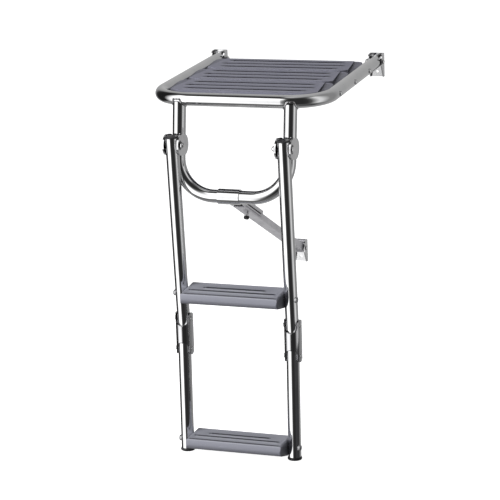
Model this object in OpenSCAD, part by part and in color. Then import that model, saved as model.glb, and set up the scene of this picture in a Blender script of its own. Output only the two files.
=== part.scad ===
// Boat boarding ladder: tube-frame transom platform with a hinged, double-folding ladder.
// Units are millimetres. X runs across, Y runs towards the transom, Z is up.
// The origin is the middle of the four platform bracket holes on the transom face.

/* [Tubes] */
// Outside diameter of every stainless tube
tube_d = 25; // [20:0.5:32]
// Wall thickness of the tubes
tube_wall = 1.5; // [1:0.25:3]

/* [Platform] */
// Distance between the axes of the two side tubes
platform_w = 334; // [280:1:420]
// Distance from the transom face to the axis of the front bar
platform_depth = 410; // [380:1:480]
// Centre-line radius of the two front corners
corner_r = 75; // [50:1:90]
// Height of the tube axes above the middle of the bracket holes
platform_z = 9; // [9:1:9]
// Depth of one platform tread
tread_depth = 100; // [80:1:102]
// Distance between the tread centre lines
tread_pitch = 107; // [104:1:112]
// Distance from the transom face to the centre of the rear tread
tread_rear_y = 108; // [100:1:112]
// Thickness of a platform tread
tread_t = 18; // [14:1:20]
// Height of the tread top above the tube axes
tread_top = 9; // [6:0.5:11]
// Plan radius of the front corners of the treads
tread_corner_r = 38; // [20:1:44]
// Plan radius of the rear corners of the treads
tread_back_r = 14; // [6:1:30]
// Width of the grooves in the treads
groove_w = 8; // [5:0.5:12]
// Depth of the grooves in the treads
groove_deep = 2.4; // [1:0.2:4]

/* [Support hoop] */
// Distance between the axes of the two posts, also of the ladder rails
rail_w = 217; // [190:1:250]
// Forward lean of the hoop posts in degrees
post_lean = 10; // [6:0.5:14]
// Length from the front bar axis down to the crossbar axis
hoop_drop = 179.2; // [150:0.2:210]
// Centre-line radius of the two bottom bends of the hoop
hoop_bend_r = 70.5; // [50:0.5:75]

/* [Top hinges] */
// Distance of the hinge axis below the front bar axis, along the post
hinge_drop = 84.3; // [70:0.1:100]
// Distance of the hinge axis in front of the post axis
hinge_out = 37.2; // [35:0.1:45]
// Thickness of the hinge plates
plate_t = 3; // [2:0.5:4]
// Radius of the rounded front and back of the hinge plates
plate_r = 19.5; // [16:0.5:20]
// Distance from the hinge bolt to the nose of its plates
plate_nose = 11.5; // [9:0.5:16]
// Gap between a rail and the plate beside it
side_gap = 0.3; // [0.3:0.05:0.6]

/* [Ladder] */
// Backward lean of the upper section at rest in degrees
upper_lean = 2.3; // [0:0.1:4]
// Forward lean of the fold links at rest in degrees
link_lean = 2.1; // [1:0.1:5]
// Forward lean of the lower section at rest in degrees
lower_lean = 2.9; // [2.1:0.1:6]
// Length from the top hinge axis to the upper link pivot
upper_len = 342.5; // [300:0.5:380]
// Distance between the two pivots of a fold link
link_len = 60; // [52:1:70]
// Length from the lower link pivot to the bottom of the tube
lower_len = 200; // [180:1:240]
// Length of tube past each pivot
stub = 12; // [10:0.5:12.5]
// Height of the foot below the tube end
foot_h = 5.5; // [4:0.5:12]

/* [Steps] */
// Distance of the upper step top below the front bar axis
step1_z = 352.5; // [320:0.5:370]
// Distance of the lower step top below the front bar axis
step2_z = 646; // [610:0.5:650]
// Depth of a ladder step, front to back
step_depth = 70; // [50:1:80]
// Height of a ladder step at its front edge
step_front_h = 21; // [18:1:28]
// Height of a ladder step at its back edge
step_back_h = 31.5; // [28:1:36]
// Radius of the rounded top edge at the ends of a step
step_end_r = 5; // [2:0.5:9]
// Wall thickness of the moulded steps and treads
shell = 3; // [2:0.25:4]

/* [Strut] */
// Sideways position of the strut
strut_x = -7; // [-30:1:30]
// Distance of the strut pivot below the front bar axis
strut_drop = 400; // [360:1:440]
// Width of the inner arm
inner_w = 22; // [18:1:23]
// Height of the inner arm
inner_h = 13; // [10:0.5:16]
// Length of the outer arm from the crossbar axis
outer_len = 168; // [150:1:200]
// Length of the collar on the crossbar
collar_len = 42; // [30:1:60]
// Outside diameter of the collar
collar_d = 29.2; // [28:0.2:34]
// Place of the lock screw along the strut, from the crossbar axis
lock_at = 111.5; // [105:0.5:120]
// Travel of the lock screw each way along its slot
lock_travel = 37.6; // [20:0.2:38]

/* [Transom brackets] */
// Width of a bracket over its cheeks
bracket_w = 29; // [28:0.5:36]
// Thickness of the bracket base plate
base_t = 3; // [2:0.5:4]
// Thickness of the bracket cheeks
cheek_t = 2.5; // [2:0.25:4]
// Depth of a bracket at its pivot
cheek_depth = 22; // [20:0.5:30]
// Distance of the bracket pivot from the transom face
pivot_y = 13; // [12.5:0.5:14]
// Distance between the two holes of a bracket
hole_pitch = 26; // [22:1:28]
// Diameter of the bracket holes
hole_d = 5.5; // [4:0.5:8]

/* [Bolts] */
// Diameter of the pivot bolts
bolt_d = 6; // [5:0.5:8]
// Radial clearance round the pivot bolts
bolt_gap = 0.06; // [0.02:0.01:0.1]
// Diameter of the button heads
head_d = 10.6; // [9:0.2:14]

/* [Hidden] */
tr = tube_d / 2;
ti = tr - tube_wall;
hw = platform_w / 2;
hr = rail_w / 2;
pin = tr + side_gap;
tube_end = cheek_depth + 4;
br = bolt_d / 2;
bh = br + bolt_gap;
// hinge axis in the platform frame
hinge_y = -platform_depth - hinge_out * cos(post_lean) - hinge_drop * sin(post_lean);
hinge_z = hinge_out * sin(post_lean) - hinge_drop * cos(post_lean);
// crossbar axis
bar_y = -platform_depth - hoop_drop * sin(post_lean);
bar_z = -hoop_drop * cos(post_lean);
// strut from the crossbar to its transom pivot
strut_dy = -pivot_y - bar_y;
strut_dz = -strut_drop - bar_z;
strut_l = sqrt(strut_dy * strut_dy + strut_dz * strut_dz);
strut_a = atan2(strut_dz, strut_dy);
// link pivots
p1_y = hinge_y + upper_len * sin(upper_lean);
p1_z = hinge_z - upper_len * cos(upper_lean);
p2_y = p1_y - link_len * sin(link_lean);
p2_z = p1_z - link_len * cos(link_lean);
screw_r = 2.2;
screw_dn = 13.5;
screw_fw = 4.8;
steel = [0.78, 0.79, 0.8];
satin = [0.66, 0.67, 0.69];
grey = [0.47, 0.47, 0.53];
black = [0.1, 0.1, 0.11];

module up() { translate([0, 0, platform_z]) children(); }
module in_hoop() { up() translate([0, -platform_depth, 0]) rotate([-post_lean, 0, 0]) children(); }
module in_upper() { up() translate([0, hinge_y, hinge_z]) rotate([upper_lean, 0, 0]) children(); }
module in_link() { up() translate([0, p1_y, p1_z]) rotate([-link_lean, 0, 0]) children(); }
module in_lower() { up() translate([0, p2_y, p2_z]) rotate([-lower_lean, 0, 0]) children(); }
module in_strut() { up() translate([strut_x, bar_y, bar_z]) rotate([strut_a, 0, 0]) children(); }

module ring2() { difference() { circle(r = tr, $fn = 32); circle(r = ti, $fn = 32); } }
module straight(l) { linear_extrude(height = l) ring2(); }
module bend(r) { rotate_extrude(angle = 90, $fn = 36) translate([r, 0]) ring2(); }
module xcyl(l, r, fn = 32) { rotate([0, 90, 0]) cylinder(h = l, r = r, center = true, $fn = fn); }

// button-head bolt along X, head outside at +x, grip = distance between clamped faces
module bolt_x(grip, r, tail) {
  rotate([0, 90, 0]) {
    translate([0, 0, -grip / 2 - tail]) cylinder(h = grip + tail, r = r, $fn = 24);
    translate([0, 0, grip / 2]) rotate_extrude($fn = 24)
      polygon([[0, 0], [head_d / 2, 0], [head_d / 2, 0.8], [head_d / 2 - 0.5, 1.8], [head_d / 2 - 1.4, 2.6], [head_d / 2 - 2.7, 3.2], [head_d / 2 - 4, 3.4], [0, 3.5]]);
  }
}
// low-head bolt along X for the links, head outside at +x, and its barrel nut at the other side
module low_bolt_x(grip, r) {
  rotate([0, 90, 0]) {
    translate([0, 0, -grip / 2 - 1]) cylinder(h = grip + 1, r = r, $fn = 24);
    translate([0, 0, grip / 2]) rotate_extrude($fn = 24) polygon([[0, 0], [4.4, 0], [4.4, 0.5], [4, 1.2], [3, 1.7], [1.6, 2], [0, 2.1]]);
  }
}
module low_nut(r) {
  rotate([0, -90, 0]) difference() {
    rotate_extrude($fn = 24) polygon([[0, 0], [4.4, 0], [4.4, 0.6], [4, 1.3], [3, 1.8], [1.6, 2.1], [0, 2.2]]);
    translate([0, 0, -1]) cylinder(h = 2.1, r = r + 0.02, $fn = 24);
  }
}
// cap nut with its flat face at x = 0 and its dome towards -x
module cap_nut(r) {
  rotate([0, -90, 0]) difference() {
    union() {
      cylinder(h = 4, r = 5.7, $fn = 6);
      translate([0, 0, 4]) rotate_extrude($fn = 24) polygon([[0, 0], [4.9, 0], [4.5, 1.6], [3.4, 2.9], [1.8, 3.7], [0, 3.9]]);
    }
    translate([0, 0, -1]) cylinder(h = 6, r = r + 0.02, $fn = 24);
  }
}

module platform_frame() color(steel) up() difference() {
  union() {
    translate([-(hw - corner_r), -platform_depth, 0]) rotate([0, 90, 0]) straight(2 * (hw - corner_r));
    translate([hw - corner_r, -platform_depth + corner_r, 0]) rotate([0, 0, -90]) bend(corner_r);
    translate([-(hw - corner_r), -platform_depth + corner_r, 0]) rotate([0, 0, 180]) bend(corner_r);
    for (s = [-1, 1]) translate([s * hw, -platform_depth + corner_r, 0]) rotate([-90, 0, 0]) straight(platform_depth - corner_r - tube_end);
  }
  for (s = [-1, 1]) for (i = [0:2]) translate([s * hw, -tread_rear_y - i * tread_pitch, 0]) xcyl(tube_d + 4, 2.5, 20);
}

// end fitting of a side tube, flattened at its sides, that turns on the bracket bolt
module frame_end(s) color(steel) up() translate([s * hw, 0, 0]) difference() {
  union() {
    translate([0, -tube_end - 22, 0]) rotate([-90, 0, 0]) cylinder(h = 22.5, r = ti - 0.1, $fn = 32);
    translate([0, -tube_end, 0]) rotate([-90, 0, 0]) cylinder(h = 2, r = tr, $fn = 32);
    intersection() {
      translate([-11.7, -tube_end + 1, -15]) cube([23.4, tube_end - 6.2, 30]);
      translate([0, -tube_end, 0]) rotate([-90, 0, 0]) cylinder(h = 30, r = tr - 0.2, $fn = 32);
    }
  }
  translate([0, -pivot_y, 0]) xcyl(40, bh, 24);
}
module frame_end_left() frame_end(-1);
module frame_end_right() frame_end(1);

module support_hoop() color(steel) in_hoop() difference() {
  union() {
    for (s = [-1, 1]) translate([s * hr, 0, -(hoop_drop - hoop_bend_r)]) straight(hoop_drop - hoop_bend_r - 5);
    translate([hr - hoop_bend_r, 0, -(hoop_drop - hoop_bend_r)]) rotate([90, 0, 0]) rotate([0, 0, -90]) bend(hoop_bend_r);
    translate([-(hr - hoop_bend_r), 0, -(hoop_drop - hoop_bend_r)]) rotate([90, 0, 0]) rotate([0, 0, 180]) bend(hoop_bend_r);
    translate([-(hr - hoop_bend_r), 0, -hoop_drop]) rotate([0, 90, 0]) straight(2 * (hr - hoop_bend_r));
  }
  // saddles that follow the front bar and its two corner bends
  xcyl(2 * (hw - corner_r), tr + 0.05, 48);
  rotate([post_lean, 0, 0]) for (s = [-1, 1]) translate([s * (hw - corner_r), corner_r, 0]) rotate([0, 0, s > 0 ? -90 : 180])
    rotate_extrude(angle = 90, $fn = 48) translate([corner_r, 0]) circle(r = tr + 0.05, $fn = 48);
}

// plan of a tread, front edge towards -y, with large front corners and small rear ones
module tread_plan(w, d, r, q) {
  translate([-(w / 2 - r), -d / 2]) square([w - 2 * r, d]);
  translate([-w / 2, -d / 2 + r]) square([w, d - r - q]);
  translate([-(w / 2 - q), 0]) square([w - 2 * q, d / 2]);
  for (a = [-1, 1]) {
    translate([a * (w / 2 - r), -d / 2 + r]) circle(r = r, $fn = 48);
    translate([a * (w / 2 - q), d / 2 - q]) circle(r = q, $fn = 40);
  }
}
// long groove with round ends
module groove(l, w, deep) {
  translate([0, 0, -deep]) linear_extrude(height = deep + 1) {
    square([l, w], center = true);
    for (a = [-1, 1]) translate([a * l / 2, 0]) circle(r = w / 2, $fn = 20);
  }
}
module tread(i) color(grey) up() translate([0, -tread_rear_y - i * tread_pitch, 0]) {
  wi = platform_w - tube_d - 0.2;
  difference() {
    translate([0, 0, tread_top - tread_t]) linear_extrude(height = tread_t) tread_plan(wi, tread_depth, tread_corner_r, tread_back_r);
    for (k = [-1, 0, 1]) translate([0, k * tread_depth * 0.29, tread_top]) groove(wi - (k == 0 ? 76 : 92), groove_w, groove_deep);
    for (k = [-2:2]) for (j = [-1, 1]) translate([k * (wi - 40) / 5, j * (tread_depth - shell - 2) / 4, tread_top - tread_t - 1])
      linear_extrude(height = tread_t - shell - groove_deep + 1) square([(wi - 40) / 5 - shell, (tread_depth - shell - 2) / 2 - shell], center = true);
    for (s = [-1, 1]) translate([s * (wi / 2 - 5), 0, 0]) xcyl(11, 2.04, 20);
    // the ends drop below the flat top, more towards the front
    for (s = [0, 1]) mirror([s, 0, 0]) translate([0, 0, tread_top - 4.4]) rotate([4, 0, 0]) linear_extrude(height = 20)
      polygon([[wi / 2 - 20.5, tread_depth / 2 + 6], [wi / 2 - 7, -tread_depth / 2 - 6], [wi / 2 + 9, -tread_depth / 2 - 6], [wi / 2 + 9, tread_depth / 2 + 6]]);
  }
}
module tread_rear() tread(0);
module tread_middle() tread(1);
module tread_front() tread(2);

module tread_rivets() color(steel) up() for (s = [-1, 1]) for (i = [0:2])
  translate([s * (hw + tr), -tread_rear_y - i * tread_pitch, 0]) rotate([0, s * 90, 0]) {
    translate([0, 0, -tube_d - 9]) cylinder(h = tube_d + 9.5, r = 2, $fn = 20);
    difference() {
      translate([0, 0, -1.5]) rotate_extrude($fn = 24) polygon([[0, 0], [5.7, 0], [5.7, 1.9], [5.3, 2.8], [4.2, 3.7], [2.3, 4.4], [0, 4.6]]);
      translate([0, 0, -tr]) rotate([90, 0, 0]) cylinder(h = 20, r = tr + 0.04, center = true, $fn = 64);
    }
  }

nose_y = -hinge_out - plate_nose + plate_r;
// side plate welded to a post; t = +1 is the plate on the +X side of the post
module hinge_plate(s, t) color(satin) in_hoop() translate([s * hr, 0, 0]) difference() {
  union() {
    translate([t * (pin + plate_t / 2), 0, 0]) {
      for (y = [nose_y, -11.5]) translate([0, y, -hinge_drop]) xcyl(plate_t, plate_r, 48);
      translate([-plate_t / 2, nose_y, -hinge_drop - plate_r]) cube([plate_t, -11.5 - nose_y, 2 * plate_r]);
    }
    translate([t > 0 ? tr - 2 : -pin - 0.01, -6.8, -hinge_drop - plate_r + 6]) cube([2 + side_gap + 0.01, 11.8, 2 * plate_r - 12]);
  }
  translate([0, 0, -hinge_drop - 40]) cylinder(h = 80, r = tr + 0.02, $fn = 48);
  translate([t * pin, -hinge_out, -hinge_drop]) xcyl(20, br + 0.02, 24);
}
module hinge_plate_left_outer() hinge_plate(-1, -1);
module hinge_plate_left_inner() hinge_plate(-1, 1);
module hinge_plate_right_inner() hinge_plate(1, -1);
module hinge_plate_right_outer() hinge_plate(1, 1);

module hinge_bolts() color(steel) in_hoop() for (s = [-1, 1])
  translate([s * hr, -hinge_out, -hinge_drop]) rotate([0, s > 0 ? 0 : 180, 0]) bolt_x(2 * (pin + plate_t), br, 4.5);
module hinge_nuts() color(steel) in_hoop() for (s = [-1, 1])
  translate([s * (hr - pin - plate_t), -hinge_out, -hinge_drop]) rotate([0, s > 0 ? 0 : 180, 0]) cap_nut(br);

// bracket with its pivot at the local origin height
module bracket(x, z) color(satin) up() translate([x, 0, z]) difference() {
  union() {
    translate([-bracket_w / 2, -base_t, -32]) cube([bracket_w, base_t, 48]);
    for (t = [-1, 1]) translate([t * (bracket_w / 2 - cheek_t / 2) + cheek_t / 2, 0, 0]) rotate([0, -90, 0])
      linear_extrude(height = cheek_t) {
        polygon([[16, -base_t / 2], [16, -cheek_depth + 10], [6, -cheek_depth + 10], [6, -cheek_depth], [-7, -cheek_depth], [-32, -7], [-32, -base_t / 2]]);
        translate([6, -cheek_depth + 10]) circle(r = 10, $fn = 40);
      }
  }
  translate([0, -pivot_y, 0]) xcyl(bracket_w + 10, br + 0.02, 24);
  for (h = [-22, -22 + hole_pitch]) translate([0, 0, h]) rotate([90, 0, 0]) translate([0, 0, -1]) cylinder(h = base_t + 2, r = hole_d / 2, $fn = 28);
}
module bracket_left() bracket(-hw, 0);
module bracket_right() bracket(hw, 0);
module bracket_strut() bracket(strut_x, -strut_drop);
module bracket_bolts() color(steel) up() {
  for (s = [-1, 1]) translate([s * hw, -pivot_y, 0]) rotate([0, s > 0 ? 0 : 180, 0]) bolt_x(bracket_w, br, 4.5);
  translate([strut_x, -pivot_y, -strut_drop]) bolt_x(bracket_w, br, 4.5);
}
module bracket_nuts() color(steel) up() {
  for (s = [-1, 1]) translate([s * (hw - bracket_w / 2), -pivot_y, 0]) rotate([0, s > 0 ? 0 : 180, 0]) cap_nut(br);
  translate([strut_x - bracket_w / 2, -pivot_y, -strut_drop]) cap_nut(br);
}

module strut_collar() color(steel) in_strut() difference() {
  xcyl(collar_len, collar_d / 2, 48);
  xcyl(collar_len + 4, tr + 0.08, 48);
}
outer_w = 28;
module strut_outer_arm() color(satin) in_strut() difference() {
  translate([-outer_w / 2, 6, -5]) cube([outer_w, outer_len - 6, 15.5]);
  translate([-inner_w / 2 - 0.4, 4, -7]) cube([inner_w + 0.8, outer_len, 15]);
  xcyl(60, collar_d / 2 + 0.02, 48);
  // the legs are cut back beyond the collar end
  translate([-20, 58, -10]) cube([40, outer_len, 8.4]);
  // long slot in the right leg
  translate([outer_w / 2 - 5, 60, 0.6]) cube([10, 98, 2.8]);
  // slot for the lock screw in the web
  translate([-bh - 0.2, lock_at - lock_travel - bh - 0.4, 5]) cube([2 * bh + 0.4, 2 * (lock_travel + bh + 0.4), 10]);
}
eye_r = 9.5;
module strut_inner_arm() color(satin) in_strut() difference() {
  union() {
    translate([-inner_w / 2, 58, -inner_h / 2]) cube([inner_w, strut_l - 58, inner_h]);
    translate([0, strut_l, 0]) xcyl(inner_w, eye_r);
  }
  translate([-inner_w / 2 + 2, 50, -inner_h / 2 + 2]) cube([inner_w - 4, strut_l - 50 - 14, inner_h - 4]);
  translate([0, strut_l, 0]) xcyl(inner_w + 10, br + 1.7, 24);
  translate([0, lock_at, -20]) cylinder(h = 40, r = br + 0.05, $fn = 24);
}
module strut_lock_screw() color(black) in_strut() translate([0, lock_at, 0]) {
  translate([0, 0, -inner_h / 2 - 8]) cylinder(h = inner_h / 2 + 8 + 16.5, r = br, $fn = 24);
  translate([0, 0, -inner_h / 2 - 12.4]) difference() {
    union() {
      rotate_extrude($fn = 36) polygon([[0, 0], [4, 0], [5, 0.8], [5.3, 2], [5.3, 5.6], [4.7, 6.6], [0, 6.6]]);
      translate([0, 0, 6.4]) cylinder(h = 5.8, r = 3.7, $fn = 24);
    }
    for (k = [0:8]) rotate([0, 0, k * 40]) translate([5.7, 0, -1]) cylinder(h = 9, r = 0.9, $fn = 12);
  }
}
module strut_lock_nut() color(steel) in_strut() translate([0, lock_at, 10.55]) difference() {
  cylinder(h = 5, r = 5.77, $fn = 6);
  translate([0, 0, -1]) cylinder(h = 8, r = br + 0.02, $fn = 24);
}

module upper_rail(s) color(steel) in_upper() translate([s * hr, 0, 0]) difference() {
  translate([0, 0, -upper_len - stub]) straight(upper_len + stub + 14.2);
  xcyl(tube_d + 4, bh, 24);
  translate([0, 0, -upper_len]) xcyl(tube_d + 4, bh, 24);
  translate([0, -screw_fw, -(step1_z + hinge_z) / cos(upper_lean) - screw_dn]) xcyl(tube_d + 4, screw_r + 0.3, 20);
}
module upper_rail_left() upper_rail(-1);
module upper_rail_right() upper_rail(1);
// flat cap in the top end of a rail
module upper_cap(s) color(black) in_upper() translate([s * hr, 0, 14.2]) rotate_extrude($fn = 32)
  polygon([[0, -8], [ti - 0.1, -8], [ti - 0.1, 0], [tr, 0], [tr, 1.6], [tr - 0.7, 2.5], [tr - 2.2, 3], [0, 3.3]]);
module upper_cap_left() upper_cap(-1);
module upper_cap_right() upper_cap(1);
module end_plug() rotate_extrude($fn = 32) polygon([[0, -6], [ti - 0.1, -6], [ti - 0.1, 0], [tr - 0.3, 0], [tr - 0.3, 0.9], [tr - 1, 1.5], [0, 1.5]]);
module upper_plug(s) color(black) in_upper() translate([s * hr, 0, -upper_len - stub]) rotate([180, 0, 0]) end_plug();
module upper_plug_left() upper_plug(-1);
module upper_plug_right() upper_plug(1);

// moulded step, top at z = 0, rail axis at y = 0, reaching forwards to -y
module step_solid(w, g) {
  b = 22;
  f = b - step_depth;
  difference() {
    intersection() {
      rotate([90, 0, 90]) translate([0, 0, -w / 2]) linear_extrude(height = w)
        polygon([[b, -1], [b - 1, 0], [f + 4.4, 0], [f + 3, -0.5], [f + 2.1, -1.8], [f, -11.5], [f + 0.3, -14.5], [f + 1.6, -17.6], [f + 4, -step_front_h + 1.2], [f + 8, -step_front_h], [f + 11, -step_front_h - 0.8], [-4, -step_back_h], [b, -step_front_h]]);
      translate([0, 0, -60]) linear_extrude(height = 62) {
        translate([-w / 2, f + 4]) square([w, step_depth - 4]);
        translate([-w / 2 + 4, f]) square([w - 8, 20]);
        for (t = [-1, 1]) translate([t * (w / 2 - 4), f + 4]) circle(r = 4, $fn = 32);
      }
      // rounded top edges of the two ends
      translate([0, b + 1, 0]) rotate([90, 0, 0]) linear_extrude(height = step_depth + 2) {
        translate([-w / 2, -60]) square([w, 60 - step_end_r]);
        translate([-w / 2 + step_end_r, -30]) square([w - 2 * step_end_r, 30]);
        for (t = [-1, 1]) translate([t * (w / 2 - step_end_r), -step_end_r]) circle(r = step_end_r, $fn = 40);
      }
    }
    translate([0, f + 7, 0]) groove(w - 8, 4.4, 1.8);
    translate([0, f + 28, 0]) groove(w - 24, 6, 1.8);
    translate([0, f + 44, 0]) groove(w - 72, 6, 1.8);
    // ribbed hollow under the step
    for (k = [-2:2]) translate([k * (w - 26) / 5, 0, -60]) translate([0, (b + f) / 2 + 3, 0])
      linear_extrude(height = 60 - 1.8 - shell) square([(w - 26) / 5 - shell, step_depth - 22], center = true);
    for (t = [-1, 1]) translate([t * (w / 2 - 5), g[0], g[1]]) xcyl(11, screw_r + 0.06, 20);
  }
}
module upper_step() color(grey) in_upper() translate([0, 0, -(step1_z + hinge_z) / cos(upper_lean)]) step_solid(rail_w - tube_d - 0.2, [-screw_fw, -screw_dn]);
module lower_step() color(grey) in_lower() translate([0, 0, -(step2_z + p2_z) / cos(lower_lean)]) step_solid(rail_w - tube_d - 0.2, [-screw_fw, -screw_dn]);

module step_screw() rotate([0, 90, 0]) {
  translate([0, 0, -tube_d - 9]) cylinder(h = tube_d + 9.5, r = screw_r, $fn = 20);
  difference() {
    translate([0, 0, -3.4]) rotate_extrude($fn = 24) polygon([[0, 0], [5.6, 0], [5.6, 3.9], [5.2, 4.8], [4.1, 5.6], [2.2, 6.1], [0, 6.2]]);
    children();
  }
}
// the tube as seen from a screw at its side, offset o from the screw axis
module tube_cut(o) { translate([0, o, -tr]) rotate([0, 90, 0]) cylinder(h = 24, r = tr + 0.04, center = true, $fn = 64); }
module upper_step_screws() color(steel) in_upper() for (s = [-1, 1])
  translate([s * (hr + tr), -screw_fw, -(step1_z + hinge_z) / cos(upper_lean) - screw_dn]) rotate([0, s > 0 ? 0 : 180, 0]) step_screw() tube_cut(screw_fw);
lower_screw_z = -(step2_z + p2_z) / cos(lower_lean) - screw_dn;
module lower_step_screws() color(steel) in_lower() for (s = [-1, 1])
  translate([s * (hr + tr), -screw_fw, lower_screw_z]) rotate([0, s > 0 ? 0 : 180, 0]) step_screw() tube_cut(screw_fw);

// two ears joined by a front bridge, open at the back
module fold_link(s) color(steel) in_link() translate([s * hr, 0, 0]) difference() {
  intersection() {
    translate([0, 0, -link_len - 14]) linear_extrude(height = link_len + 28) difference() {
      union() {
        circle(r = pin + plate_t, $fn = 48);
        translate([-pin - plate_t, 0]) square([2 * (pin + plate_t), 9.5]);
      }
      circle(r = pin, $fn = 48);
      translate([-pin, 0]) square([2 * pin, 30]);
    }
    union() {
      xcyl(60, 11.5, 40);
      translate([0, 0, -link_len]) xcyl(60, 11.5, 40);
      translate([-30, -30, -link_len]) cube([60, 60, link_len]);
    }
  }
  for (z = [0, -link_len]) translate([0, 0, z]) {
    translate([0, 0, z == 0 ? -1 : 2]) rotate([90, 0, 0]) cylinder(h = 40, r = pin, $fn = 48);
    xcyl(60, br + 0.02, 24);
  }
  translate([-pin, -40, -1]) cube([2 * pin, 40, 30]);
  translate([-pin, -40, -link_len - 28]) cube([2 * pin, 40, 30]);
}
module fold_link_left() fold_link(-1);
module fold_link_right() fold_link(1);
module link_bolts(s) color(steel) in_link() for (z = [0, -link_len])
  translate([s * hr, 0, z]) rotate([0, s > 0 ? 0 : 180, 0]) low_bolt_x(2 * (pin + plate_t), br);
module link_bolts_left() link_bolts(-1);
module link_bolts_right() link_bolts(1);
module link_nuts(s) color(steel) in_link() for (z = [0, -link_len])
  translate([s * (hr - pin - plate_t), 0, z]) rotate([0, s > 0 ? 0 : 180, 0]) low_nut(br);
module link_nuts_left() link_nuts(-1);
module link_nuts_right() link_nuts(1);

module lower_rail(s) color(steel) in_lower() translate([s * hr, 0, 0]) difference() {
  translate([0, 0, -lower_len]) straight(lower_len + stub);
  xcyl(tube_d + 4, bh, 24);
  translate([0, -screw_fw, lower_screw_z]) xcyl(tube_d + 4, screw_r + 0.3, 20);
}
module lower_rail_left() lower_rail(-1);
module lower_rail_right() lower_rail(1);
module lower_plug(s) color(black) in_lower() translate([s * hr, 0, stub]) end_plug();
module lower_plug_left() lower_plug(-1);
module lower_plug_right() lower_plug(1);
module foot(s) color(black) in_lower() translate([s * hr, 0, -lower_len]) rotate_extrude($fn = 32)
  polygon([[0, 13], [ti - 0.1, 13], [ti - 0.1, 0], [tr + 0.3, 0], [tr + 1.5, -foot_h + 1.6], [tr + 0.8, -foot_h], [0, -foot_h]]);
module foot_left() foot(-1);
module foot_right() foot(1);

platform_frame();
frame_end_left();
frame_end_right();
support_hoop();
tread_front();
tread_middle();
tread_rear();
tread_rivets();
hinge_plate_left_outer();
hinge_plate_left_inner();
hinge_plate_right_inner();
hinge_plate_right_outer();
hinge_bolts();
hinge_nuts();
bracket_left();
bracket_right();
bracket_strut();
bracket_bolts();
bracket_nuts();
strut_collar();
strut_outer_arm();
strut_inner_arm();
strut_lock_screw();
strut_lock_nut();
upper_rail_left();
upper_rail_right();
upper_cap_left();
upper_cap_right();
upper_plug_left();
upper_plug_right();
upper_step();
upper_step_screws();
fold_link_left();
fold_link_right();
link_bolts_left();
link_bolts_right();
link_nuts_left();
link_nuts_right();
lower_rail_left();
lower_rail_right();
lower_plug_left();
lower_plug_right();
lower_step();
lower_step_screws();
foot_left();
foot_right();
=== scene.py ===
import bpy, bmesh, math
from mathutils import Matrix, Vector


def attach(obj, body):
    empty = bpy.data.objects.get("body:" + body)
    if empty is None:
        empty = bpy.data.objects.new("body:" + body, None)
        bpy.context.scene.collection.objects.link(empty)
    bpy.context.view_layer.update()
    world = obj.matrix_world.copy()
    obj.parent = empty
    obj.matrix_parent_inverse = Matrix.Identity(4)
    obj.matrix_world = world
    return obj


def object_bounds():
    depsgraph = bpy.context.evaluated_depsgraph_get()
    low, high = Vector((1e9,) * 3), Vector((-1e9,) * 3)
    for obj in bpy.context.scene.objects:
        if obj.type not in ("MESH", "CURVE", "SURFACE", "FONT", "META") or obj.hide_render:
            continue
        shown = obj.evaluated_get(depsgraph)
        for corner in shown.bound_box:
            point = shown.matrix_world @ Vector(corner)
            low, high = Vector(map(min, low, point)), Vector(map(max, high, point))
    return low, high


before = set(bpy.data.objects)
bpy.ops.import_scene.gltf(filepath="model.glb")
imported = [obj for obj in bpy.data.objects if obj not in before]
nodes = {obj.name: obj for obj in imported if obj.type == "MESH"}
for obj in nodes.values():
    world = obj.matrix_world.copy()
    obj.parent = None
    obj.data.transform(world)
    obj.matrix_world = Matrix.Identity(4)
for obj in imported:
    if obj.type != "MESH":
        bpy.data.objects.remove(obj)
cad_lo, cad_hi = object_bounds()
scene = bpy.context.scene


# ---------------------------------------------------------------- camera
cam = bpy.data.cameras.new("camera")
cam_obj = bpy.data.objects.new("camera", cam)
scene.collection.objects.link(cam_obj)
right = Vector((0.94974786, 0.31055651, -0.03916185))
above = Vector((-0.05229452, 0.28077744, 0.95834718))
ahead = Vector((-0.30861672, 0.90814023, -0.28290817))
m = Matrix.Identity(4)
for i in range(3):
    m[i][0], m[i][1], m[i][2] = right[i], above[i], -ahead[i]
m.translation = Vector((1.11532687, -3.63875335, 0.72714625))
cam_obj.matrix_world = m
cam.lens = 135.458
cam.sensor_width = 36
cam.clip_start, cam.clip_end = 0.1, 60
scene.camera = cam_obj
scene.view_settings.view_transform = "Standard"
scene.view_settings.look = "None"


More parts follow.
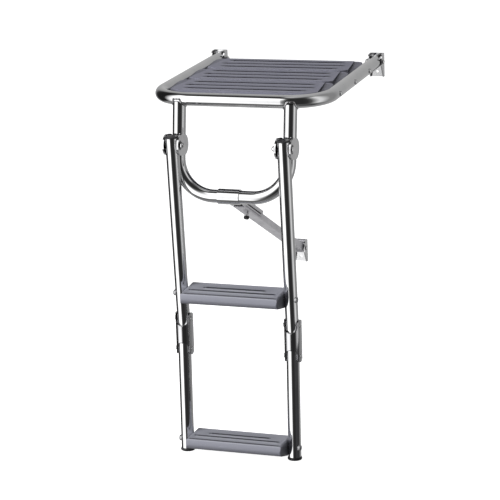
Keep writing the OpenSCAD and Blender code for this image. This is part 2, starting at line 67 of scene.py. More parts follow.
# ---------------------------------------------------------------- node helpers
class Tree:
    """A short way to write a shader tree."""

    def __init__(self, tree):
        self.t, self.x = tree, 0
        tree.nodes.clear()

    def add(self, kind, inputs=None, **props):
        n = self.t.nodes.new(kind)
        n.location = (self.x, 0)
        self.x += 180
        for k, v in props.items():
            setattr(n, k, v)
        for k, v in (inputs or {}).items():
            self.put(n.inputs[k], v)
        return n

    def put(self, socket, v):
        if isinstance(v, bpy.types.NodeSocket):
            self.t.links.new(v, socket)
        elif isinstance(v, bpy.types.Node):
            self.t.links.new(v.outputs[0], socket)
        else:
            socket.default_value = v

    def math(self, op, a, b=0.0, c=0.0, clamp=False):
        return self.add("ShaderNodeMath", {0: a, 1: b, 2: c}, operation=op, use_clamp=clamp).outputs[0]

    def vmath(self, op, a, b=(0, 0, 0)):
        return self.add("ShaderNodeVectorMath", {0: a, 1: b}, operation=op).outputs[0]

    def ramp(self, v, lo, hi, a=0.0, b=1.0, smooth=True):
        return self.add("ShaderNodeMapRange", {"Value": v, "From Min": lo, "From Max": hi, "To Min": a, "To Max": b},
                        interpolation_type="SMOOTHSTEP" if smooth else "LINEAR").outputs[0]

    def noise(self, co, scale, detail=3.0, rough=0.5, distort=0.0):
        return self.add("ShaderNodeTexNoise", {"Vector": co, "Scale": scale, "Detail": detail, "Roughness": rough, "Distortion": distort}).outputs[0]

    def mix(self, f, a, b):
        n = self.add("ShaderNodeMix", data_type="RGBA")
        self.put(n.inputs[0], f)
        self.put(n.inputs[6], a)
        self.put(n.inputs[7], b)
        return n.outputs[2]


def rgb(r, g, b):
    return tuple(((c / 255 + 0.055) / 1.055) ** 2.4 if c > 10 else c / 255 / 12.92 for c in (r, g, b)) + (1.0,)


# ---------------------------------------------------------------- studio
world = bpy.data.worlds.new("studio")
scene.world = world
world.use_nodes = True
w = Tree(world.node_tree)
gen = w.add("ShaderNodeTexCoord").outputs["Generated"]
sep = w.add("ShaderNodeSeparateXYZ", {0: gen})
toward = (0.3218, -0.9468, 0.0)  # horizontal direction from the object towards the camera
aside = (0.9468, 0.3218, 0.0)
fx = w.add("ShaderNodeVectorMath", {0: gen, 1: aside}, operation="DOT_PRODUCT").outputs["Value"]
fy = w.add("ShaderNodeVectorMath", {0: gen, 1: toward}, operation="DOT_PRODUCT").outputs["Value"]
around = w.math("ADD", w.math("DIVIDE", w.math("ARCTAN2", fx, fy), 2 * math.pi), 0.5)
height = w.math("DEGREES", w.math("ARCSINE", sep.outputs[2]))


def strip(stops):
    """Grey level against the angle round the object, in degrees from the camera."""
    n = w.add("ShaderNodeValToRGB", {"Fac": around})
    r = n.color_ramp
    r.interpolation = "LINEAR"
    while len(r.elements) > 1:
        r.elements.remove(r.elements[-1])
    for i, (a, v) in enumerate(stops):
        e = r.elements[0] if i == 0 else r.elements.new(a / 360 + 0.5)
        e.position = a / 360 + 0.5
        e.color = (v, v, v, 1)
    return n.outputs[0]


level = strip([(-180, .47), (-158, .34), (-144, .04), (-132, .015), (-104, .015), (-97, .30), (-86, 1.05), (-76, 1.7), (-44, 1.7), (-37, 1.25),
               (-30, .23), (-23, .055), (-15, .03), (20, .028), (32, .038), (42, .10), (52, .42), (64, .86), (72, .80), (84, .50),
               (97, .27), (118, .27), (143, .40), (180, .47)])
band = strip([(-180, .46), (-155, .30), (-135, .06), (-60, .035), (0, .04), (40, .06), (80, .24), (120, .40), (180, .48)])
roof = strip([(-180, .50), (-140, .48), (-95, .50), (-60, .60), (-20, .50), (30, .36), (80, .38), (120, .44), (180, .52)])
ground = strip([(-180, .52), (-145, .34), (-95, .22), (-60, .15), (-38, .12), (-10, .11), (30, .10), (60, .14), (110, .28), (180, .45)])
deep = strip([(-180, .44), (-120, .34), (-60, .26), (-20, .26), (30, .20), (80, .22), (130, .34), (180, .44)])
sky = w.mix(w.ramp(height, -41, -31), ground, level)
sky = w.mix(w.ramp(height, -66, -54, 1.0, 0.0), sky, deep)
sky = w.mix(w.ramp(height, 53, 64), sky, band)
sky = w.mix(w.ramp(height, 73, 81), sky, roof)
# what matt surfaces gather: light from the left and the front, little from the right and from below
gather = strip([(-180, .30), (-120, .38), (-60, .52), (-10, .40), (25, .20), (60, .09), (110, .08), (150, .18), (180, .30)])
gather = w.mix(w.ramp(height, -45, 5), (0.13, 0.13, 0.135, 1), gather)
gather = w.mix(w.ramp(height, 25, 65), gather, (0.36, 0.365, 0.38, 1))
path = w.add("ShaderNodeLightPath")
seen = w.add("ShaderNodeBackground", {"Color": (1, 1, 1, 1), "Strength": 1.0})
mirror = w.add("ShaderNodeBackground", {"Color": sky, "Strength": 1.0})
soft = w.add("ShaderNodeBackground", {"Color": gather, "Strength": 1.0})
a1 = w.add("ShaderNodeMixShader", {0: path.outputs["Is Glossy Ray"], 1: soft, 2: mirror})
a2 = w.add("ShaderNodeMixShader", {0: path.outputs["Is Camera Ray"], 1: a1, 2: seen})
w.add("ShaderNodeOutputWorld", {"Surface": a2})


def softbox(name, place, aim, size, watts, colour=(1, 1, 1)):
    d = bpy.data.lights.new(name, "AREA")
    d.shape, d.size, d.size_y, d.energy, d.color = "RECTANGLE", size[0], size[1], watts, colour
    o = bpy.data.objects.new(name, d)
    scene.collection.objects.link(o)
    o.location = place
    o.rotation_mode = "QUATERNION"
    o.rotation_quaternion = (Vector(aim) - Vector(place)).to_track_quat("-Z", "Y")
    o.visible_glossy = False
    return o


mid = (cad_lo + cad_hi) / 2
softbox("key_left", (-2.0, -2.8, 1.1), mid, (1.6, 2.0), 150)
softbox("top", (-0.7, -1.7, 2.5), mid, (2.0, 1.6), 30)

# pale floor, just under the feet
bm = bmesh.new()
floor_z = cad_lo.z - 0.0005
n_ring, prev = 64, None
for i, r in enumerate([0.4, 1.2, 3.0, 7.0]):
    ring = [bm.verts.new((r * math.cos(2 * math.pi * k / n_ring), r * math.sin(2 * math.pi * k / n_ring) - 0.3, floor_z)) for k in range(n_ring)]
    if prev:
        for k in range(n_ring):
            bm.faces.new((prev[k], ring[k], ring[(k + 1) % n_ring], prev[(k + 1) % n_ring]))
    else:
        bm.faces.new(ring)
    prev = ring
mesh = bpy.data.meshes.new("floor")
bm.to_mesh(mesh)
bm.free()
floor = bpy.data.objects.new("floor", mesh)
scene.collection.objects.link(floor)
fm = bpy.data.materials.new("pale_floor")
fm.use_nodes = True
t = Tree(fm.node_tree)
co = t.add("ShaderNodeTexCoord").outputs["Object"]
tone = t.mix(t.noise(co, 3.0, 4), (0.55, 0.55, 0.555, 1), (0.60, 0.60, 0.605, 1))
bump = t.add("ShaderNodeBump", {"Strength": 0.05, "Distance": 0.0005, "Height": t.noise(co, 400, 3)})
b = t.add("ShaderNodeBsdfPrincipled", {"Base Color": tone, "Roughness": 0.8, "Normal": bump, "Specular IOR Level": 0.1,
                                         "Emission Color": (1, 1, 1, 1), "Emission Strength": 0.95})
t.add("ShaderNodeOutputMaterial", {"Surface": b})
mesh.materials.append(fm)
floor.visible_glossy = False
floor.visible_diffuse = False


# a black flag low on the right, seen only in reflections: it keeps the right side of the lower rails dark
flag_mat = bpy.data.materials.new("black_cloth")
flag_mat.use_nodes = True
t = Tree(flag_mat.node_tree)
co = t.add("ShaderNodeTexCoord").outputs["Object"]
weave = t.add("ShaderNodeTexChecker", {"Vector": co, "Color1": (0.012, 0.012, 0.012, 1), "Color2": (0.02, 0.02, 0.02, 1), "Scale": 800.0}).outputs[0]
glow = t.mix(t.noise(co, 4.0, 2), (0.035, 0.035, 0.037, 1), (0.055, 0.055, 0.058, 1))
bump = t.add("ShaderNodeBump", {"Strength": 0.2, "Distance": 0.001, "Height": t.noise(co, 300, 2)})
b = t.add("ShaderNodeBsdfPrincipled", {"Base Color": weave, "Roughness": 0.9, "Normal": bump, "Specular IOR Level": 0.0,
                                         "Emission Color": glow, "Emission Strength": 1.0})
t.add("ShaderNodeOutputMaterial", {"Surface": b})
bm = bmesh.new()
cols, prev = 12, None
for i in range(cols + 1):
    ang = math.radians(44 + 62 * i / cols)
    px, py = 0.0 + 0.62 * math.sin(ang), -0.42 - 0.62 * math.cos(ang)
    pair = (bm.verts.new((px, py, -1.15)), bm.verts.new((px, py, -0.60)))
    if prev:
        bm.faces.new((prev[0], pair[0], pair[1], prev[1]))
    prev = pair
mesh = bpy.data.meshes.new("flag")
bm.to_mesh(mesh)
bm.free()
flag = bpy.data.objects.new("flag", mesh)
scene.collection.objects.link(flag)
mesh.materials.append(flag_mat)
flag.visible_camera = False
flag.visible_diffuse = False
flag.visible_shadow = False
flag.visible_transmission = False


# ---------------------------------------------------------------- materials
def material(name, build, colour):
    mt = bpy.data.materials.new(name)
    mt.use_nodes = True
    mt.diffuse_color = colour
    t = Tree(mt.node_tree)
    co = t.add("ShaderNodeTexCoord").outputs["Object"]
    build(t, co)
    return mt


def stretched(t, co, axis, along):
    """Coordinates squeezed along the given axis, so that noise draws lines across it."""
    s = [1.0, 1.0, 1.0]
    s["xyz".index(axis)] = along
    return t.add("ShaderNodeMapping", {"Vector": co, "Scale": tuple(s)}).outputs[0]


def polished(axis):
    def build(t, co):
        lines = t.noise(stretched(t, co, axis, 14.0), 240, 4, 0.65)      # buffing lines round the tube
        smear = t.noise(co, 26, 4, 0.6, 0.6)                              # handling and water film
        spots = t.ramp(t.noise(co, 190, 2), 0.66, 0.78)
        scratch = t.ramp(t.add("ShaderNodeTexVoronoi", {"Vector": stretched(t, co, axis, 0.12), "Scale": 260.0}, feature="DISTANCE_TO_EDGE").outputs[0], 0.0, 0.02, 1.0, 0.0)
        scratch = t.math("MULTIPLY", scratch, t.ramp(t.noise(co, 38, 2), 0.56, 0.64))
        rough = t.math("ADD", t.ramp(smear, 0.35, 0.75, 0.012, 0.055), t.math("MULTIPLY", lines, 0.035))
        rough = t.math("ADD", rough, t.math("MULTIPLY", spots, 0.10))
        rough = t.math("ADD", rough, t.math("MULTIPLY", scratch, 0.10))
        tone = t.mix(t.ramp(smear, 0.3, 0.8), (0.80, 0.80, 0.805, 1), (0.73, 0.735, 0.745, 1))
        tone = t.mix(t.math("MULTIPLY", scratch, 0.35), tone, (0.60, 0.60, 0.61, 1))
        h = t.math("ADD", t.math("MULTIPLY", lines, 0.35), t.math("MULTIPLY", scratch, -0.6))
        bump = t.add("ShaderNodeBump", {"Strength": 0.035, "Distance": 0.0002, "Height": h})
        b = t.add("ShaderNodeBsdfPrincipled", {"Base Color": tone, "Metallic": 1.0, "Roughness": rough, "Normal": bump})
        t.add("ShaderNodeOutputMaterial", {"Surface": b})
    return material("polished_steel_" + axis, build, (0.8, 0.8, 0.81, 1))


def satin_build(t, co):
    grain = t.noise(co, 900, 3, 0.7)
    cloud = t.noise(co, 60, 4, 0.6)
    pits = t.ramp(t.noise(co, 420, 2, 0.5), 0.62, 0.74)
    rough = t.math("ADD", t.ramp(cloud, 0.3, 0.7, 0.24, 0.36), t.math("MULTIPLY", grain, 0.10))
    tone = t.mix(t.ramp(cloud, 0.25, 0.8), (0.90, 0.89, 0.93, 1), (0.80, 0.795, 0.835, 1))
    tone = t.mix(t.math("MULTIPLY", pits, 0.5), tone, (0.30, 0.30, 0.31, 1))
    edge = t.ramp(t.add("ShaderNodeNewGeometry").outputs["Pointiness"], 0.53, 0.62)
    tone = t.mix(t.math("MULTIPLY", edge, 0.6), tone, (0.82, 0.82, 0.83, 1))
    h = t.math("ADD", grain, t.math("MULTIPLY", pits, -1.2))
    bump = t.add("ShaderNodeBump", {"Strength": 0.22, "Distance": 0.00025, "Height": h})
    b = t.add("ShaderNodeBsdfPrincipled", {"Base Color": tone, "Metallic": 1.0, "Roughness": rough, "Normal": bump})
    t.add("ShaderNodeOutputMaterial", {"Surface": b})


def plastic(name, body, rows, tops, shade, tilt=(0.0, 0.0)):
    """Moulded plastic. rows: the Y of the groove centres with half lengths and half widths; tops: Z of the walking faces."""
    def build(t, co):
        grain = t.add("ShaderNodeTexVoronoi", {"Vector": co, "Scale": 1500.0}).outputs[0]   # moulded leather-like grain
        cloud = t.noise(co, 18, 5, 0.6)
        flow = t.noise(stretched(t, co, "x", 0.15), 90, 3, 0.6)
        dust = t.noise(co, 300, 3, 0.7)
        scuff = t.ramp(t.noise(stretched(t, co, "x", 0.1), 420, 2), 0.66, 0.76)
        scuff = t.math("MULTIPLY", scuff, t.ramp(t.noise(co, 14, 2), 0.5, 0.62))
        geo = t.add("ShaderNodeNewGeometry")
        edge = t.ramp(geo.outputs["Pointiness"], 0.52, 0.60)
        tone = t.mix(cloud, rgb(*[c - 6 for c in body]), rgb(*[c + 6 for c in body]))
        tone = t.mix(t.math("MULTIPLY", flow, 0.22), tone, rgb(*[c + 16 for c in body]))
        tone = t.mix(t.math("MULTIPLY", t.ramp(dust, 0.5, 0.8), 0.25), tone, rgb(*[c + 22 for c in body]))
        tone = t.mix(t.math("MULTIPLY", scuff, 0.30), tone, rgb(*[min(c + 48, 255) for c in body]))
        xyz = t.add("ShaderNodeSeparateXYZ", {0: co})
        x, y, z = xyz.outputs
        if tilt[0]:   # steps stand square to their rails
            z = t.math("SUBTRACT", z, t.math("MULTIPLY", t.math("SUBTRACT", y, tilt[1]), tilt[0]))
        # painted shade darkens the grooves and a painted highlight lightens their front lips
        groove_shade, lip_highlight = 0.0, 0.0
        for gy, half, wide in rows:
            d = t.math("ABSOLUTE", t.math("SUBTRACT", y, gy))
            runout = 0.0 if tilt[0] else 0.013   # the painted groove shade runs on past the ends of the tread grooves
            inside = t.ramp(t.math("ABSOLUTE", x), half - 0.004 + runout, half + 0.002 + runout, 1.0, 0.0)
            reach = 1.45 if tilt[0] and wide < 0.0025 else 1.08
            g = t.math("MULTIPLY", t.ramp(d, wide * reach, wide * (reach + 0.32), 1.0, 0.0), inside)
            front_lip = t.math("ABSOLUTE", t.math("SUBTRACT", y, gy - wide - 0.0045))
            wear_and_lip_highlight = t.math("MULTIPLY", t.ramp(front_lip, 0.0015, 0.0055, 1.0, 0.0), inside)
            groove_shade = t.math("MAXIMUM", groove_shade, g)
            lip_highlight = t.math("MAXIMUM", lip_highlight, wear_and_lip_highlight)
        up = t.ramp(t.add("ShaderNodeSeparateXYZ", {0: geo.outputs["Normal"]}).outputs[2], 0.4, 0.8)
        high = 0.0
        for top in tops:
            high = t.math("MAXIMUM", high, t.ramp(t.math("ABSOLUTE", t.math("SUBTRACT", z, top)), 0.0035, 0.006, 1.0, 0.0))
        face = t.math("MULTIPLY", up, high)
        uneven = t.ramp(t.noise(stretched(t, co, "x", 0.25), 30, 3, 0.6), 0.3, 0.7, 0.85, 1.0)
        # painted highlight on the front lips of the grooves, on the walking faces
        tone = t.mix(t.math("MULTIPLY", t.math("MULTIPLY", lip_highlight, face), t.math("MULTIPLY", uneven, 0.62)), tone, rgb(*[min(c + 44, 255) for c in body]))
        # painted shade in the grooves
        tone = t.mix(t.math("MULTIPLY", t.math("MULTIPLY", groove_shade, high), t.math("MULTIPLY", uneven, shade)), tone, rgb(*[c * 0.36 for c in body]))
        if tilt[0]:   # painted shade: the step front is darker towards its bottom edge
            low = t.math("MULTIPLY", t.ramp(z, tops[0] - 0.021, tops[0] - 0.007, 1.0, 0.0), t.ramp(flow, 0.3, 0.7, 0.85, 1.0))
            tone = t.mix(t.math("MULTIPLY", low, 0.62), tone, rgb(*[c * 0.60 for c in body]))
        # painted shade on the treads: the lowered ends outboard of the walking face, by the tube, are darkened, with
        # noise
        if shade > 0.92:
            tread_end_shade = t.math("MULTIPLY", t.ramp(z, tops[0] - 0.0016, tops[0] - 0.0008, 1.0, 0.0), t.ramp(t.math("ABSOLUTE", x), 0.128, 0.134))
            tread_end_shade = t.math("MULTIPLY", tread_end_shade, t.ramp(t.noise(co, 120, 4, 0.7), 0.3, 0.65, 0.45, 0.85))
            tone = t.mix(tread_end_shade, tone, rgb(*[c * 0.5 for c in body[:2] + (body[1],)]))
        tone = t.mix(t.math("MULTIPLY", edge, 0.35), tone, rgb(*[min(c + 34, 255) for c in body]))
        rough = t.math("ADD", t.ramp(cloud, 0.3, 0.7, 0.42, 0.54), t.math("MULTIPLY", scuff, 0.12))
        rough = t.math("ADD", rough, t.math("MULTIPLY", groove_shade, 0.1))
        h = t.math("ADD", t.math("MULTIPLY", grain, 1.0), t.math("MULTIPLY", dust, 0.4))
        bump = t.add("ShaderNodeBump", {"Strength": 0.30, "Distance": 0.0002, "Height": h})
        b = t.add("ShaderNodeBsdfPrincipled", {"Base Color": tone, "Roughness": rough, "Normal": bump, "Specular IOR Level": 0.3})
        t.add("ShaderNodeOutputMaterial", {"Surface": b})
    return material(name, build, (0.22, 0.22, 0.28, 1))


def black_build(lo, hi, grain_scale, strength):
    def build(t, co):
        grain = t.noise(co, grain_scale, 3, 0.6)
        cloud = t.noise(co, 70, 4, 0.6)
        edge = t.ramp(t.add("ShaderNodeNewGeometry").outputs["Pointiness"], 0.52, 0.62)
        tone = t.mix(cloud, (0.010, 0.010, 0.011, 1), (0.022, 0.022, 0.024, 1))
        tone = t.mix(t.math("MULTIPLY", edge, 0.5), tone, (0.07, 0.07, 0.075, 1))
        tone = t.mix(t.math("MULTIPLY", t.ramp(grain, 0.6, 0.8), 0.3), tone, (0.06, 0.06, 0.062, 1))
        rough = t.ramp(cloud, 0.3, 0.7, lo, hi)
        bump = t.add("ShaderNodeBump", {"Strength": strength, "Distance": 0.0002, "Height": grain})
        b = t.add("ShaderNodeBsdfPrincipled", {"Base Color": tone, "Roughness": rough, "Normal": bump})
        t.add("ShaderNodeOutputMaterial", {"Surface": b})
    return build


POLISHED = {a: polished(a) for a in "xyz"}
SATIN = material("satin_steel", satin_build, (0.62, 0.62, 0.63, 1))


def plate(name, light, dark, lo, hi):
    """Sheet steel, polished and lightly brushed along Z, with fine scratches and a water film."""
    def build(t, co):
        lines = t.noise(stretched(t, co, "z", 0.06), 700, 4, 0.6)
        smear = t.noise(co, 34, 4, 0.6, 0.5)
        spots = t.ramp(t.noise(co, 240, 2), 0.66, 0.76)
        edge = t.ramp(t.add("ShaderNodeNewGeometry").outputs["Pointiness"], 0.53, 0.62)
        rough = t.math("ADD", t.ramp(smear, 0.3, 0.7, lo, hi), t.math("MULTIPLY", lines, 0.08))
        rough = t.math("ADD", rough, t.math("MULTIPLY", spots, 0.08))
        tone = t.mix(t.ramp(smear, 0.3, 0.8), light, dark)
        tone = t.mix(t.math("MULTIPLY", edge, 0.5), tone, (0.85, 0.85, 0.86, 1))
        bump = t.add("ShaderNodeBump", {"Strength": 0.08, "Distance": 0.0002, "Height": lines})
        b = t.add("ShaderNodeBsdfPrincipled", {"Base Color": tone, "Metallic": 1.0, "Roughness": rough, "Normal": bump})
        t.add("ShaderNodeOutputMaterial", {"Surface": b})
    return material(name, build, light)


PLATE = plate("polished_plate", (0.80, 0.80, 0.81, 1), (0.70, 0.70, 0.715, 1), 0.06, 0.14)
LINK = plate("polished_link", (0.36, 0.36, 0.375, 1), (0.26, 0.26, 0.275, 1), 0.03, 0.09)

# groove centres, from the driving dimensions of the frame: treads every 107 mm, three grooves each, steps three grooves each
tread_rows = [(-0.108 - 0.107 * i + 0.029 * k, 0.1164 if k == 0 else 0.1084, 0.004) for i in range(3) for k in (-1, 0, 1)]
rad = math.radians
hinge = (-0.4612734, -0.0765596)
link1 = (hinge[0] + 0.3425 * math.sin(rad(2.3)), hinge[1] - 0.3425 * math.cos(rad(2.3)))
link2 = (link1[0] - 0.060 * math.sin(rad(2.1)), link1[1] - 0.060 * math.cos(rad(2.1)))
step1 = -0.45018
step2 = -0.45820


def step_rows(y):
    return [(y - 0.048 + a, b, c) for a, b, c in ((0.007, 0.0919, 0.0022), (0.028, 0.0839, 0.003), (0.044, 0.0599, 0.003))]


TREAD = plastic("grey_plastic_tread", (102, 102, 115), tread_rows, (0.018,), 0.95)
STEP_UP = plastic("grey_plastic_upper_step", (121, 122, 131), step_rows(step1), (0.009 - 0.3525,), 0.9, (0.0402, step1))
STEP_LOW = plastic("grey_plastic_lower_step", (121, 122, 131), step_rows(step2), (0.009 - 0.646,), 0.9, (-0.0507, step2))
BLACK = material("black_plastic", black_build(0.28, 0.42, 900, 0.15), (0.02, 0.02, 0.02, 1))
RUBBER = material("black_rubber", black_build(0.45, 0.62, 500, 0.3), (0.02, 0.02, 0.02, 1))


def cad_material(o):
    name = o.name
    if name.startswith("tread_") and name != "tread_rivets":
        return TREAD
    if name in ("upper_step", "lower_step"):
        return STEP_UP if name == "upper_step" else STEP_LOW
    if name in ("bracket_left", "bracket_right", "bracket_strut"):
        return PLATE
    if name in ("fold_link_left", "fold_link_right"):
        return LINK
    slot = o.material_slots[0].material.name.split(".")[0] if o.material_slots and o.material_slots[0].material else ""
    if slot == "polished_steel":
        axis = "x" if ("bolt" in name or "nut" in name or "screw" in name or "rivet" in name or "collar" in name) else \
            "y" if "frame" in name else "z"
        return POLISHED[axis]
    return {"satin_steel": SATIN, "grey_plastic": TREAD, "black_plastic": BLACK, "black_rubber": RUBBER}.get(slot, SATIN)


MAT = {n: cad_material(o) for n, o in nodes.items()}
for n, o in nodes.items():
    o.data.materials.clear()
    o.data.materials.append(MAT[n])

# small rounded edges on the cut and moulded pieces
EDGES = {"tread_front": 1.4, "tread_middle": 1.4, "tread_rear": 1.4, "upper_step": 1.1, "lower_step": 1.1,
         "hinge_plate_left_outer": 0.5, "hinge_plate_left_inner": 0.5, "hinge_plate_right_inner": 0.5, "hinge_plate_right_outer": 0.5,
         "bracket_left": 0.5, "bracket_right": 0.5, "bracket_strut": 0.5, "fold_link_left": 0.7, "fold_link_right": 0.7,
         "strut_outer_arm": 0.6, "strut_inner_arm": 0.8, "frame_end_left": 0.8, "frame_end_right": 0.8, "strut_collar": 0.5}
for n, wide in EDGES.items():
    o = nodes[n]
    bev = o.modifiers.new("rounded_edges", "BEVEL")
    bev.width, bev.segments, bev.limit_method, bev.angle_limit = wide / 1000, 3, "ANGLE", math.radians(38)
    bev.use_clamp_overlap = True
    wn = o.modifiers.new("even_normals", "WEIGHTED_NORMAL")
    wn.keep_sharp = False
    wn.weight = 60

# ---------------------------------------------------------------- weld beads
def bead(name, path_points, radius, body, closed, normal_of, mat):
    """A rippled weld bead along the path, half sunk into the corner it fills."""
    bm = bmesh.new()
    n, sides, rings = len(path_points), 10, []
    for i, q in enumerate(path_points):
        a = path_points[(i + 1) % n if closed else min(i + 1, n - 1)]
        c = path_points[(i - 1) % n if closed else max(i - 1, 0)]
        tan = (a - c).normalized()
        out = normal_of(q)
        out = (out - tan * out.dot(tan)).normalized()
        side = tan.cross(out)
        ripple = 1.0 + 0.13 * math.sin(i * 2 * math.pi / 4.0) + 0.05 * math.sin(i * 1.7)
        r = radius * ripple
        if not closed and i in (0, n - 1):
            r *= 0.45
        rings.append([bm.verts.new(q + out * (r * 0.8 * math.cos(2 * math.pi * k / sides)) + side * (r * math.sin(2 * math.pi * k / sides))) for k in range(sides)])
    for i in range(n if closed else n - 1):
        r0, r1 = rings[i], rings[(i + 1) % n]
        for k in range(sides):
            bm.faces.new((r0[k], r0[(k + 1) % sides], r1[(k + 1) % sides], r1[k]))
    if not closed:
        bm.faces.new(rings[0])
        bm.faces.new(rings[-1][::-1])
    bmesh.ops.recalc_face_normals(bm, faces=bm.faces)
    me = bpy.data.meshes.new(name)
    bm.to_mesh(me)
    bm.free()
    for f in me.polygons:
        f.use_smooth = True
    me.materials.append(mat)
    o = bpy.data.objects.new(name, me)
    scene.collection.objects.link(o)
    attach(o, body)
    return o


def weld_build(t, co):
    heat = t.noise(co, 120, 4, 0.6, 0.8)
    fine = t.noise(co, 900, 3, 0.6)
    tone = t.mix(t.ramp(heat, 0.3, 0.75), (0.62, 0.62, 0.63, 1), (0.36, 0.35, 0.36, 1))
    tone = t.mix(t.math("MULTIPLY", t.ramp(heat, 0.62, 0.8), 0.4), tone, (0.50, 0.42, 0.33, 1))
    rough = t.math("ADD", t.ramp(heat, 0.3, 0.7, 0.18, 0.34), t.math("MULTIPLY", fine, 0.08))
    bump = t.add("ShaderNodeBump", {"Strength": 0.25, "Distance": 0.0003, "Height": fine})
    b = t.add("ShaderNodeBsdfPrincipled", {"Base Color": tone, "Metallic": 1.0, "Roughness": rough, "Normal": bump})
    t.add("ShaderNodeOutputMaterial", {"Surface": b})


def strut_axes(t, co):
    """Distance along the strut from the crossbar, and across it (up is positive), in metres."""
    bar = Vector((0.0, -0.4411174, -0.1674776))
    way = Vector((0.0, -0.013 - bar.y, -0.391 - bar.z)).normalized()
    over = Vector((0.0, -way.z, way.y))
    q = t.vmath("SUBTRACT", co, tuple(bar))
    along = t.add("ShaderNodeVectorMath", {0: q, 1: tuple(way)}, operation="DOT_PRODUCT").outputs["Value"]
    across = t.add("ShaderNodeVectorMath", {0: q, 1: tuple(over)}, operation="DOT_PRODUCT").outputs["Value"]
    return along, across


def inner_arm_build(t, co):
    along, across = strut_axes(t, co)
    grain = t.noise(co, 900, 3, 0.7)
    cloud = t.noise(co, 60, 4, 0.6)
    ragged = t.math("ADD", along, t.math("MULTIPLY", t.math("SUBTRACT", cloud, 0.5), 0.004))
    # painted shade: the inner arm is darkened where the outer arm covers it, so the slot between them reads dark
    slot_shade = t.math("MULTIPLY", t.ramp(ragged, 0.158, 0.163, 1.0, 0.0), t.ramp(across, -0.0022, -0.0012))
    slot_shade = t.math("MULTIPLY", slot_shade, t.ramp(ragged, 0.056, 0.060))
    wear_and_lip_highlight = t.ramp(t.noise(stretched(t, co, "y", 0.1), 300, 3), 0.55, 0.7)
    tone = t.mix(t.ramp(cloud, 0.25, 0.8), (0.90, 0.89, 0.93, 1), (0.80, 0.795, 0.835, 1))
    tone = t.mix(t.math("MULTIPLY", wear_and_lip_highlight, 0.3), tone, (0.66, 0.66, 0.69, 1))
    tone = t.mix(t.math("MULTIPLY", slot_shade, 0.97), tone, (0.012, 0.012, 0.013, 1))
    rough = t.math("ADD", t.ramp(cloud, 0.3, 0.7, 0.24, 0.36), t.math("MULTIPLY", grain, 0.10))
    bump = t.add("ShaderNodeBump", {"Strength": 0.2, "Distance": 0.00025, "Height": grain})
    b = t.add("ShaderNodeBsdfPrincipled", {"Base Color": tone, "Metallic": 1.0, "Roughness": rough, "Normal": bump})
    t.add("ShaderNodeOutputMaterial", {"Surface": b})


def knob_build(t, co):
    along, across = strut_axes(t, co)
    grain = t.noise(co, 900, 3, 0.6)
    cloud = t.noise(co, 70, 4, 0.6)
    shank = t.ramp(across, -0.0127, -0.0125)
    edge = t.ramp(t.add("ShaderNodeNewGeometry").outputs["Pointiness"], 0.52, 0.62)
    tone = t.mix(cloud, (0.010, 0.010, 0.011, 1), (0.022, 0.022, 0.024, 1))
    tone = t.mix(t.math("MULTIPLY", edge, 0.5), tone, (0.07, 0.07, 0.075, 1))
    tone = t.mix(shank, tone, t.mix(cloud, (0.62, 0.62, 0.63, 1), (0.72, 0.72, 0.73, 1)))
    rough = t.math("ADD", t.ramp(cloud, 0.3, 0.7, 0.26, 0.40), t.math("MULTIPLY", shank, -0.14))
    bump = t.add("ShaderNodeBump", {"Strength": 0.15, "Distance": 0.0002, "Height": grain})
    b = t.add("ShaderNodeBsdfPrincipled", {"Base Color": tone, "Metallic": shank, "Roughness": rough, "Normal": bump})
    t.add("ShaderNodeOutputMaterial", {"Surface": b})


SCREW = plate("dull_screw", (0.42, 0.42, 0.43, 1), (0.30, 0.30, 0.31, 1), 0.22, 0.34)
for n in ("upper_step_screws", "lower_step_screws"):
    nodes[n].data.materials.clear()
    nodes[n].data.materials.append(SCREW)


def hinge_build(t, co):
    """Polished hinge plate with a dark ring of painted shade round the bolt."""
    lines = t.noise(stretched(t, co, "z", 0.06), 700, 4, 0.6)
    cloud = t.noise(co, 45, 5, 0.6)
    q = t.add("ShaderNodeSeparateXYZ", {0: co}).outputs
    dy, dz = t.math("SUBTRACT", q[1], -0.461273), t.math("SUBTRACT", q[2], -0.06756)
    d = t.math("SQRT", t.math("ADD", t.math("MULTIPLY", dy, dy), t.math("MULTIPLY", dz, dz)))
    d = t.math("ADD", d, t.math("MULTIPLY", t.math("SUBTRACT", t.noise(co, 260, 3, 0.6), 0.5), 0.0022))
    # painted shade: a dark ring on the plate round the bolt head
    ring = t.ramp(d, 0.0078, 0.0100, 1.0, 0.0)
    tone = t.mix(t.ramp(cloud, 0.3, 0.75), (0.80, 0.80, 0.81, 1), (0.66, 0.66, 0.675, 1))
    tone = t.mix(t.math("MULTIPLY", ring, 0.88), tone, (0.05, 0.05, 0.052, 1))
    rough = t.math("ADD", t.ramp(lines, 0.3, 0.7, 0.06, 0.13), t.math("MULTIPLY", ring, 0.25))
    bump = t.add("ShaderNodeBump", {"Strength": 0.12, "Distance": 0.0002, "Height": lines})
    b = t.add("ShaderNodeBsdfPrincipled", {"Base Color": tone, "Metallic": 1.0, "Roughness": rough, "Normal": bump})
    t.add("ShaderNodeOutputMaterial", {"Surface": b})


HINGE = material("polished_hinge_plate", hinge_build, (0.7, 0.7, 0.71, 1))
for n in ("hinge_plate_left_outer", "hinge_plate_left_inner", "hinge_plate_right_inner", "hinge_plate_right_outer"):
    nodes[n].data.materials.clear()
    nodes[n].data.materials.append(HINGE)
# painted highlight: the hinge bolts take a lighter, near-mirror copy of the plate steel so their heads read bright
BOLT = plate("bright_bolt", (0.98, 0.98, 0.985, 1), (0.92, 0.92, 0.93, 1), 0.02, 0.05)
nodes["hinge_bolts"].data.materials.clear()
nodes["hinge_bolts"].data.materials.append(BOLT)

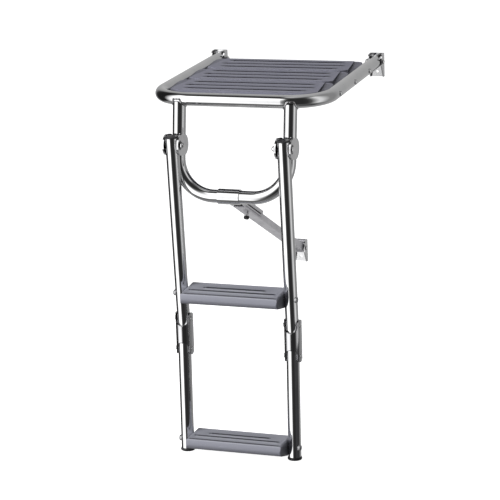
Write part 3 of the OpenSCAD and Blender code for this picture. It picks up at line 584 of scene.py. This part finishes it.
INNER = material("satin_steel_slot_shade", inner_arm_build, (0.62, 0.62, 0.63, 1))
KNOB = material("black_plastic_knob", knob_build, (0.02, 0.02, 0.02, 1))
for n, mt in (("strut_inner_arm", INNER), ("strut_lock_screw", KNOB)):
    nodes[n].data.materials.clear()
    nodes[n].data.materials.append(mt)

WELD = material("weld_metal", weld_build, (0.55, 0.55, 0.56, 1))
TR = 0.0125
lean = math.radians(10)


def hoop_to_row(q):
    """From the frame of the hoop (origin on the front bar axis, Z up the posts) to the shared frame."""
    x, y, z = q
    return Vector((x, -0.410 + y * math.cos(lean) + z * math.sin(lean), 0.009 - y * math.sin(lean) + z * math.cos(lean)))


def bar_distance(q):
    """Distance from a point to the axis of the front bar and its corner bends."""
    x, y, z = abs(q[0]), q[1], q[2] - 0.009
    if x <= 0.092:
        return math.hypot(y + 0.410, z)
    return math.hypot(math.hypot(x - 0.092, y + 0.335) - 0.075, z)


for side_name, sx in (("left", -1), ("right", 1)):
    # post to front bar
    pts = []
    for k in range(72):
        ang = 2 * math.pi * k / 72
        lo, hi = -0.03, 0.0
        for _ in range(30):
            mz = (lo + hi) / 2
            q = hoop_to_row((sx * 0.1085 + TR * math.cos(ang), TR * math.sin(ang), mz))
            if bar_distance(q) > TR:
                lo = mz
            else:
                hi = mz
        pts.append(hoop_to_row((sx * 0.1085 + (TR + 0.0002) * math.cos(ang), (TR + 0.0002) * math.sin(ang), lo - 0.0002)))
    axis_top, axis_low = hoop_to_row((sx * 0.1085, 0, 0)), hoop_to_row((sx * 0.1085, 0, -0.1))
    axis = (axis_low - axis_top).normalized()

    def away(q, a0=axis_top, ax=axis):
        d = q - a0
        return ((d - ax * d.dot(ax)).normalized() + ax * 0.8).normalized()

    bead("weld_post_" + side_name, pts, 0.0019, "platform", True, away, WELD)
    # hinge plates to post, one bead down each side of the joint
    for t_side, tn in ((-1, "a"), (1, "b")):
        for face, fn in ((-1, "front"), (1, "back")):
            pts = [hoop_to_row((sx * 0.1085 + t_side * 0.01245, face * (0.0072 if face < 0 else 0.0054), -0.0843 + 0.013 - k * 0.0013)) for k in range(21)]
            mid_line = hoop_to_row((sx * 0.1085, 0, -0.0843))

            def out_of(q, f=face, ts=t_side):
                return hoop_to_row((ts * 0.35, f, 0)) - hoop_to_row((0, 0, 0))

            bead("weld_plate_%s_%s_%s" % (side_name, tn, fn), pts, 0.0012, "platform", False, out_of, WELD)
